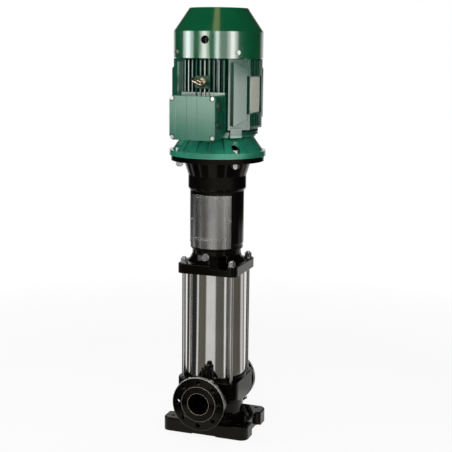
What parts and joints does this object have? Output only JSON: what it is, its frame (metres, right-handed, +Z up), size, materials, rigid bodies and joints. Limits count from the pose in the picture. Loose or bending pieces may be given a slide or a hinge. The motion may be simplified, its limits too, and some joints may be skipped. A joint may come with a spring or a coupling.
{
  "type": "vertical multistage pump",
  "caption": "Vertical in-line multistage centrifugal pump with flanged ports, stainless sleeve, tie rods, coupling stool and a finned flange motor with terminal box.",
  "frame": {"origin": "centre of the rectangle of the four foundation bolt holes, on the underside of the base plate", "axes": "+Z up along the common shaft axis, -Y out of the suction port (the front flange of the picture), +Y out of the discharge port, +X to the side that carries the bare nameplate"},
  "size_m": [0.3499, 0.4385, 1.552],
  "materials": {
    "green_paint": "gloss paint",
    "green_lid": "satin paint",
    "black_casting": "semi-gloss black coating on cast iron",
    "bright_stainless": "polished stainless sheet",
    "satin_stainless": "satin stainless sheet",
    "zinc_steel": "bright zinc plating",
    "yellow_zinc": "yellow zinc plating",
    "brass_plug": "turned",
    "shaft_steel": "ground",
    "stage_stainless": "pressed sheet",
    "seal_carbon": "lapped",
    "rubber_black": "matt",
    "lamination": "stamped sheet stack",
    "copper_winding": "varnished wire",
    "rotor_aluminium": "cast",
    "bare_iron": "machined casting",
    "nameplate_metal": "bare plate",
    "board_plastic": "moulded",
    "fan_plastic": "moulded",
    "plug_plastic": "moulded"
  },
  "bodies": {
    "root": {"base_plate": "black_casting", "casing_screws": "zinc_steel", "pump_casing": "black_casting", "gauge_plugs": "black_casting", "drain_plug": "zinc_steel", "outer_sleeve": "bright_stainless", "sleeve_seal_rings": "rubber_black", "tie_rods": "zinc_steel", "tie_rod_washers": "zinc_steel", "tie_rod_nuts": "zinc_steel", "inlet_part": "stage_stainless", "chamber_1": "stage_stainless", "chamber_2": "stage_stainless", "chamber_3": "stage_stainless", "chamber_4": "stage_stainless", "pump_head": "black_casting", "vent_plug": "zinc_steel", "seal_seat": "seal_carbon", "seal_cover": "satin_stainless", "seal_cover_screws": "zinc_steel", "motor_stool": "black_casting", "stool_screws": "zinc_steel", "guard_front": "satin_stainless", "guard_back": "satin_stainless", "guard_screws": "zinc_steel", "drive_end_shield": "green_paint", "flange_bolts": "zinc_steel", "flange_nuts": "zinc_steel", "motor_frame": "green_paint", "nameplate": "nameplate_metal", "nameplate_rivets": "zinc_steel", "eyebolt": "yellow_zinc", "stator_core": "lamination", "stator_windings": "copper_winding", "rear_end_shield": "bare_iron", "bearing_outer_rings": "shaft_steel", "fan_cowl": "green_paint", "cowl_screws": "zinc_steel", "terminal_box": "green_paint", "lid_gasket": "rubber_black", "terminal_box_lid": "green_lid", "lid_screws": "zinc_steel", "cable_entry_plugs": "plug_plastic", "terminal_board": "board_plastic", "terminal_studs": "brass_plug"},
    "shaft_group": {"pump_shaft": "shaft_steel", "impeller_1": "stage_stainless", "impeller_2": "stage_stainless", "impeller_3": "stage_stainless", "impeller_4": "stage_stainless", "shaft_sleeves": "shaft_steel", "impeller_nut": "zinc_steel", "seal_ring": "seal_carbon", "coupling_halves": "bare_iron", "coupling_screws": "zinc_steel", "motor_shaft": "shaft_steel", "rotor_core": "rotor_aluminium", "bearing_inner_rings": "shaft_steel", "bearing_balls": "shaft_steel", "cooling_fan": "fan_plastic"}
  },
  "joints": [
    {"name": "shaft_spin", "type": "hinge", "parent": "root", "child": "shaft_group", "pos_m": [0, 0, 1], "axis": [0, 0, 1], "continuous": true}
  ]
}
